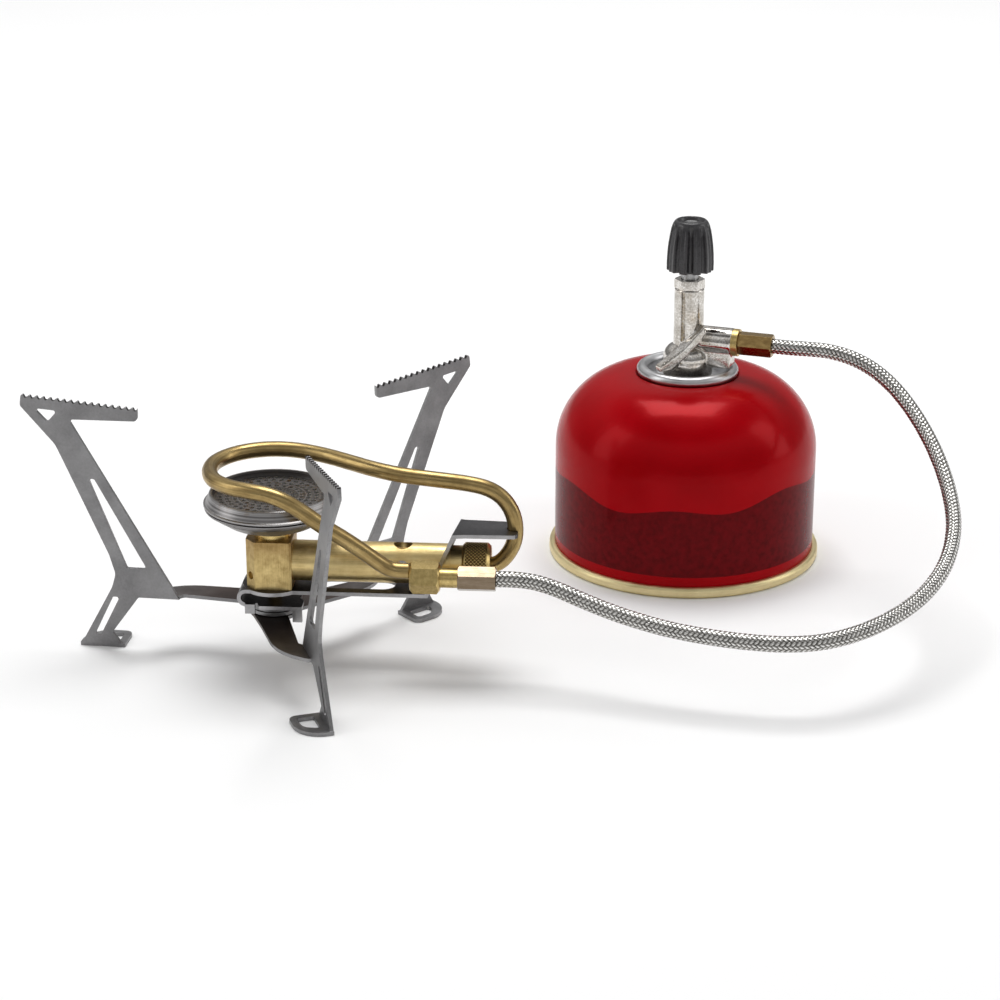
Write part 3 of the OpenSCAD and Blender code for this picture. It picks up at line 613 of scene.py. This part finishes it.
HOSE_ROUTE = [
    (70.23, -14, 33), (76, -14, 33), (82, -14.4, 32.5), (88.5, -15.8, 31.1), (96, -18.4, 29),
    (104, -21.6, 27.1), (113, -25, 25.5), (123, -28.2, 24.2), (134, -31, 23.4), (146, -33, 22.9),
    (158, -33.8, 22.8), (169, -31.8, 23.1), (179.5, -26.4, 23.9), (189, -18.2, 25),
    (197.2, -8.4, 26.5), (203.4, 1.6, 28.6), (207.9, 11.6, 31.3), (210.6, 21.4, 34.5),
    (211.8, 31, 38.2), (211.3, 40.4, 42.9), (209.4, 49.6, 48.4), (206, 59.2, 54.6),
    (201.2, 68.8, 60.8), (195.4, 76.8, 66.4), (188.8, 82.4, 70.9), (181.5, 85.8, 74),
    (174, 87.6, 75.7), (167, 88.6, 76.1), (160.9, 89.92, 76), (155.14, 91.46, 76),
]
HOSE_R = 2.5 * MM             # over the braid
STRANDS = 12                  # strands each way round the hose
STRAND_PITCH = 1.5 * MM       # along the hose, from one strand to the next
STRAND_RELIEF = 0.36 * MM     # from the gaps up to the crowns


def from_burner(route):
    """A route in millimetres from the burner's axis, turned into metres in the frame."""
    return np.array(route, float) * MM + np.array(BURNER)


def braid_height(s, turn):
    """0 in the gaps to 1 on the crowns of a two-over-two braid."""
    wires_in_strand = 3
    a = s / STRAND_PITCH + turn * STRANDS / (2 * math.pi)
    b = s / STRAND_PITCH - turn * STRANDS / (2 * math.pi)
    strand_a, strand_b = np.floor(a), np.floor(b)
    across_a, across_b = a - strand_a, b - strand_b
    crossing = np.mod(strand_a - strand_b, 4)
    a_on_top = crossing < 1.5
    run = np.where(a_on_top, (1 - crossing + across_b) / 2, (crossing - 2 + across_a) / 2)
    across = np.where(a_on_top, across_a, across_b)
    crown = np.sqrt(np.clip(1 - (2 * across - 1) ** 2, 0, 1))
    arch = 0.45 + 0.55 * np.sin(math.pi * np.clip(run, 0, 1))
    wires = 0.9 + 0.1 * np.cos(2 * math.pi * wires_in_strand * across)
    return crown * arch * wires


def make_hose():
    """The braided hose, whose strands cross in real relief."""
    row_spacing, sides, core_r = 0.22 * MM, 84, HOSE_R - 0.34 * MM
    path, along = even_path(smooth_path(from_burner(HOSE_ROUTE), 16), row_spacing)
    piece = sweep("braided_hose", path, along, core_r, sides,
                  lambda s, turn: STRAND_RELIEF * braid_height(s, turn),
                  # the strands' height also drives the braid's painted shade and highlight
                  lambda s, turn: {"braid": braid_height(s, turn)})
    piece.data.materials.append(braid.material)
    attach(piece, "stove")
    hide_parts("hose")


make_hose()


# ---------- preheat tube ----------

PREHEAT_R = 2.45 * MM
PREHEAT_ROUTE = [
    (66.4, 0, 32), (67.2, 0, 32), (68, 0, 32), (70.4, 0, 33), (73, 0, 36),
    (74.8, 0, 40), (75.2, 0, 45), (74, 0, 50), (71, 0, 54.4), (66.5, 0, 57.2),
    (60, 0.2, 58.6), (50, 1, 59.4), (40, 2.4, 60), (31, 6, 60.4), (22.5, 11.4, 60.6),
    (13.5, 16.8, 60.8), (4, 20.2, 61), (-5, 20, 61), (-13, 16, 60.9), (-18.2, 8.6, 60.8),
    (-19, 0, 60.8), (-16.2, -8.6, 60.9), (-10.6, -14.6, 61), (-4.5, -18, 61.2),
    (2, -20, 60.8), (7.2, -20.6, 59), (12.4, -20.4, 55.7), (18, -19.4, 51.2),
    (24, -17.8, 46.7), (29.8, -16.1, 41.9), (34.2, -14.7, 38), (37.4, -14.1, 35.7),
    (40, -14, 35.05), (42, -14, 35), (43.95, -14, 35),
]


def make_preheat_tube():
    """The drawn brass tube that loops over the burner."""
    row_spacing, sides, smoothings = 0.6 * MM, 40, 3
    path, along = even_path(smooth_path(from_burner(PREHEAT_ROUTE), 10), row_spacing)
    for _ in range(smoothings):  # takes out the small kinks between route points
        path[2:-2] = (path[1:-3] + 2 * path[2:-2] + path[3:-1]) / 4
    piece = sweep("preheat_tube_drawn", path, along, PREHEAT_R, sides)
    piece.data.materials.append(drawn_brass.material)
    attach(piece, "stove")
    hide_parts("preheat_tube")


make_preheat_tube()


# ---------- turned pieces ----------

def turned(name, profile, segments, centre, axis, lift):
    """Closed solid turned round X or Z from (radius, position) points in millimetres.

    lift(position, angle, radius) gives how far the skin stands proud; the attribute
    "groove" keeps it, in millimetres.
    """
    profile = np.array(profile, float) * MM
    turn = np.linspace(0, 2 * math.pi, segments, endpoint=False)
    r, t = np.meshgrid(profile[:, 0], turn, indexing="ij")
    h = np.repeat(profile[:, 1][:, None], segments, axis=1)
    proud = lift(h, t, r)
    r = r + proud
    if axis == "Z":
        grid = np.stack([r * np.cos(t), r * np.sin(t), h], axis=-1)
    else:
        grid = np.stack([h, r * np.cos(t), r * np.sin(t)], axis=-1)
    return grid_mesh(name, grid + np.array(centre), True, ("first", "last"),
                     {"groove": proud / MM})


def dense(profile, spacing):
    """Adds points along a profile's edges so that none is longer than spacing."""
    found = [profile[0]]
    for a, b in zip(profile, profile[1:]):
        steps = max(1, math.ceil(math.dist(a, b) / spacing))
        found += [tuple(a[k] + (b[k] - a[k]) * i / steps for k in (0, 1))
                  for i in range(1, steps + 1)]
    return found


def make_jet_nut():
    """Nut with a diamond knurl between two chamfers, its inside bored out."""
    nut_r, length, bore_r, tube_hole_r = 6.9, 8.6, 5.9, 2.55
    near_face = BURNER + Vector((59, 0, 32)) * MM
    ridges, ridge_pitch, groove_depth, groove_half = 38, 1.15, 0.36, 0.22

    def knurl(h, t, r):
        band = np.clip(np.minimum(h - 0.8 * MM, (length - 1.0) * MM - h) / (0.4 * MM), 0, 1)
        band = band * (r > (nut_r - 0.5) * MM)
        a = np.mod(t * ridges / (2 * math.pi) + h / (ridge_pitch * MM), 1)
        b = np.mod(t * ridges / (2 * math.pi) - h / (ridge_pitch * MM), 1)
        away = np.minimum(np.abs(a - 0.5), np.abs(b - 0.5))
        return -groove_depth * MM * band * np.clip(1 - away / groove_half, 0, 1)

    outer = [(nut_r - 0.7, 0), (nut_r, 0.7), (nut_r, length - 0.9), (nut_r - 0.9, length)]
    profile = ([(bore_r, 6.2), (bore_r, 0.1), (bore_r + 0.15, 0)] + dense(outer, 0.115)
               + [(3.2, length), (tube_hole_r, length - 0.05)])
    piece = turned("jet_nut_knurled", profile, ridges * 10, near_face, "X", knurl)
    piece.data.materials.append(knurled_brass.material)
    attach(piece, "stove")
    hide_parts("jet_nut")


make_jet_nut()


def make_knob():
    """Tapered knob with soft flutes, a dished top and a scalloped foot."""
    height, foot_r = 17.0, 7.9
    foot = CANISTER + Vector((0, 0, 99.8)) * MM
    flutes, flute_share = 10, 0.44           # the part of each pitch that the flute takes
    flute_depth, rib_drop = 1.35, 0.30
    flute_end, fade, cap_r = 15.7, 3.4, 4.75  # the flutes run out below the cap

    def flute(h, t, r):
        phase = np.abs(np.mod(t * flutes / (2 * math.pi), 1) - 0.5) * 2
        groove = np.sqrt(np.clip(1 - (phase / flute_share) ** 2, 0, 1))
        rib = rib_drop * MM * np.clip((phase - flute_share) / (1 - flute_share), 0, 1) ** 2
        ends = np.sqrt(np.clip((flute_end * MM - h) / (fade * MM), 0, 1))
        return -(flute_depth * MM * groove + rib) * ends * (r > cap_r * MM)

    outer = [(4.7, 0.0), (7.5, 0.0), (7.82, 0.12), (foot_r, 0.4), (foot_r, 3), (7.78, 6), (7.5, 9),
             (7.1, 11.6), (6.72, 13.6), (6.3, 15.1), (5.95, 15.9), (5.5, 16.55), (5.0, height)]
    dish = [(4.7, 16.95), (4.45, 16.7), (4.2, 16.0), (3.6, 15.55), (2.4, 15.35), (2.2, 15.3)]
    under = [(0.4, 1.4), (4.0, 1.4), (4.4, 1.1)]
    screw_hole = [(2.15, 12.0), (0.4, 11.9)]
    profile = dense(under, 0.5) + dense(outer, 0.45) + dish + screw_hole
    piece = turned("knob_fluted", profile, flutes * 28, foot, "Z", flute)
    piece.data.materials.append(knob_plastic.material)
    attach(piece, "control")
    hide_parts("knob")


make_knob()


# ---------- cast valve body ----------

def make_valve_casting():
    """The CAD body's shape with the soft inner corners of a casting."""
    voxel = 0.2
    lost_in_skin = 0.14  # how far the new skin would lie inside the old
    source = nodes["valve_body"].data.copy()
    source.transform(Matrix.Scale(1 / MM, 4))  # millimetres while it is remeshed
    piece = bpy.data.objects.new("valve_casting", source)
    scene.collection.objects.link(piece)
    weld = piece.modifiers.new("weld", "WELD")
    weld.merge_threshold = WELD_GAP
    remesh = piece.modifiers.new("skin", "REMESH")
    remesh.mode = "VOXEL"
    remesh.voxel_size = voxel
    relax = piece.modifiers.new("relax", "SMOOTH")
    relax.factor = 0.5
    relax.iterations = 12
    settled = piece.evaluated_get(bpy.context.evaluated_depsgraph_get())
    mesh = bpy.data.meshes.new_from_object(settled)
    mesh.name = "valve_casting"
    spots = np.empty(len(mesh.vertices) * 3)
    out = np.empty(len(mesh.vertices) * 3)
    mesh.vertices.foreach_get("co", spots)
    mesh.vertices.foreach_get("normal", out)
    mesh.vertices.foreach_set("co", (spots + lost_in_skin * out) * MM)
    mesh.update()
    bpy.data.objects.remove(piece)
    piece = bpy.data.objects.new("valve_casting", mesh)
    scene.collection.objects.link(piece)
    mesh.polygons.foreach_set("use_smooth", [True] * len(mesh.polygons))
    mesh.materials.clear()
    mesh.materials.append(nickel.material)
    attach(piece, "stove")
    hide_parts("valve_body")


make_valve_casting()


# ---------- CAD nodes that keep their shape ----------

def wear(node, *paints, choose=None):
    """Gives a CAD node its materials; choose(centre, normal) picks one for each face."""
    mesh = nodes[node].data
    mesh.materials.clear()
    for paint in paints:
        mesh.materials.append(paint.material)
    if choose:
        picked = [choose(f.center, f.normal) for f in mesh.polygons]
        mesh.polygons.foreach_set("material_index", picked)


def out_from_burner(spot):
    """Level distance from the burner's axis."""
    return math.hypot(spot.x - BURNER.x, spot.y - BURNER.y)


def leg_choice(azimuth):
    """Which of a leg's materials a face wears: the stamping's face, its cut edge, the arm's level
    faces in a darker steel as painted shade, the crowns of the support's teeth, and a painted shade
    on the teeth's flanks and roots."""
    face, edge, arm, crown, shaded_gap = range(5)
    foot_top, arm_low, arm_high = 3 * MM, 13 * MM, 20 * MM
    tooth_depth, crown_skin = 1.5 * MM, 0.25 * MM
    a = math.radians(azimuth)
    side = Vector((-math.sin(a), math.cos(a), 0))

    def choose(centre, normal):
        level = abs(normal.z) > 0.98
        if level and arm_low < centre.z < arm_high:
            # painted shade: the arms' level faces wear the darker steel
            return arm
        if abs(normal.dot(side)) > 0.98 or (level and centre.z < foot_top):
            return face
        out = out_from_burner(centre)
        top = SUPPORT_TOP - SUPPORT_FALL * (SUPPORT_REACH - out)
        end_face = out > SUPPORT_REACH - 0.1 * MM
        if centre.z < top - tooth_depth or normal.z < 0.1 or end_face:
            return edge
        # painted shade on the teeth's flanks and roots
        return crown if centre.z > top - crown_skin and normal.z > 0.95 else shaded_gap
    return choose


for name, azimuth in LEG_AZIMUTH.items():
    face_paint = front_leg_face if name == "leg_front" else leg_face
    wear(name, face_paint, leg_edge, shaded_arm_top, crown_steel, painted_shade_steel, choose=leg_choice(azimuth))
    soften(nodes[name], 0.1)


def bracket_choice(centre, normal):
    """0 for the strip's faces, 1 for its cut edges."""
    plates = ((18.8 * MM, 20.2 * MM), (23.2 * MM, 24.6 * MM))
    in_plate = any(low < centre.z < high for low, high in plates)
    return 1 if abs(normal.y) > 0.7 or (in_plate and abs(normal.z) < 0.2) else 0


def lid_choice(centre, normal):
    """0 for the lid's dome, 1 for the walls of its ports, painted near white as a highlight, 2 for
    the skirt.
    """
    skirt_r, ports_r = 18.3 * MM, 17.5 * MM
    out = out_from_burner(centre)
    if out > skirt_r:
        return 2
    return 1 if abs(normal.z) < 0.3 and out < ports_r else 0


def bowl_choice(centre, normal):
    """0 for the outside, 1 for the inside under the lid, painted dark as shade."""
    return 1 if normal.z > 0.2 else 0


wear("bracket", bracket_face, cut_edge, choose=bracket_choice)
wear("burner_lid", lid_finish, port_highlight_finish, skirt_finish, choose=lid_choice)
wear("burner_bowl", bowl_finish, painted_shade_steel, choose=bowl_choice)

PLAIN = {
    "pivot_stud": tube_brass, "pivot_washer": plated, "pivot_nut": plated,
    "burner_block": block_brass, "burner_neck": neck_brass,
    "bowl_nut": plated, "mixing_tube": tube_brass, "jet": hex_brass, "hose_union": hex_brass,
    "burner_ferrule": pale_ferrule, "valve_ferrule": brown_brass, "outlet_washer": hex_brass,
    "valve_spindle": plated, "spindle_seal": rubber, "packing_nut": nickel,
    "knob_screw": plated, "pin_depressor": hex_brass, "canister_seal": rubber,
    "canister_body": lacquer, "canister_base": rim_gold, "valve_cup": cup_metal,
    "cup_gasket": rubber, "gas_valve_housing": white_plastic, "gas_valve_gasket": rubber,
    "gas_valve_stem": white_plastic, "gas_valve_spring": plated,
}
ROUNDED = {
    "bracket": 0.1, "burner_block": 0.16, "hose_union": 0.14, "burner_ferrule": 0.14,
    "valve_ferrule": 0.14, "outlet_washer": 0.15, "packing_nut": 0.12, "pivot_nut": 0.15,
    "pivot_washer": 0.1, "mixing_tube": 0.1, "pivot_stud": 0.2,
}
for name, paint in PLAIN.items():
    wear(name, paint)
for name, width in ROUNDED.items():
    soften(nodes[name], width)


# ---------- studio ----------

def make_floor():
    """A plain pale floor, with no shine of its own."""
    half = 4.0
    paint = Paint("floor")
    paint.set(color=(0.93, 0.93, 0.93), rough=1.0, specular=0.0)
    grid = np.array([[(x, y, 0.0) for x in (-half, half)] for y in (-half, half)])
    floor = grid_mesh("floor", grid, False)
    floor.data.materials.append(paint.material)


def make_light(name, location, target, size, power):
    """A soft rectangular light aimed at a point."""
    data = bpy.data.lights.new(name, "AREA")
    data.shape = "RECTANGLE"
    data.size, data.size_y = size
    data.energy = power
    light = bpy.data.objects.new(name, data)
    scene.collection.objects.link(light)
    light.location = location
    aim = Vector(target) - Vector(location)
    light.rotation_euler = aim.to_track_quat("-Z", "Y").to_euler()


def make_world():
    """Soft grey sky, lit by height: dim below, brightest some 40 degrees up and overhead,
    with a dark band between the two. The camera itself sees near white."""
    world = bpy.data.worlds.new("studio")
    world.use_nodes = True
    scene.world = world
    tree = world.node_tree
    back = tree.nodes["Background"]
    coords = tree.nodes.new("ShaderNodeTexCoord")
    parts = tree.nodes.new("ShaderNodeSeparateXYZ")
    tree.links.new(coords.outputs["Generated"], parts.inputs[0])
    ramp = tree.nodes.new("ShaderNodeValToRGB")
    tree.links.new(parts.outputs[2], ramp.inputs["Fac"])
    levels = ((0.0, 0.24), (0.3, 0.30), (0.66, 0.80), (0.80, 0.16), (0.90, 0.16), (1.0, 0.9))
    while len(ramp.color_ramp.elements) < len(levels):
        ramp.color_ramp.elements.new(0.5)
    for element, (at, level) in zip(ramp.color_ramp.elements, levels):
        element.position = at
        element.color = (level, level, level, 1)
    seen = tree.nodes.new("ShaderNodeBackground")
    seen.inputs["Color"].default_value = (0.95, 0.95, 0.95, 1)
    mix = tree.nodes.new("ShaderNodeMixShader")
    path = tree.nodes.new("ShaderNodeLightPath")
    tree.links.new(ramp.outputs["Color"], back.inputs["Color"])
    tree.links.new(path.outputs["Is Camera Ray"], mix.inputs[0])
    tree.links.new(back.outputs[0], mix.inputs[1])
    tree.links.new(seen.outputs[0], mix.inputs[2])
    tree.links.new(mix.outputs[0], tree.nodes["World Output"].inputs["Surface"])


make_floor()
make_world()
make_light("top", (0.0, 0.7, 2.2), (0.0, 0.2, 0.0), (1.4, 1.1), 34)
make_light("left", (-1.1, -0.25, 0.55), (0.0, 0.0, 0.05), (0.5, 1.0), 3)
make_light("right", (1.2, 0.1, 0.55), (0.0, 0.0, 0.05), (0.4, 1.0), 2.5)
scene.view_settings.view_transform = "Standard"
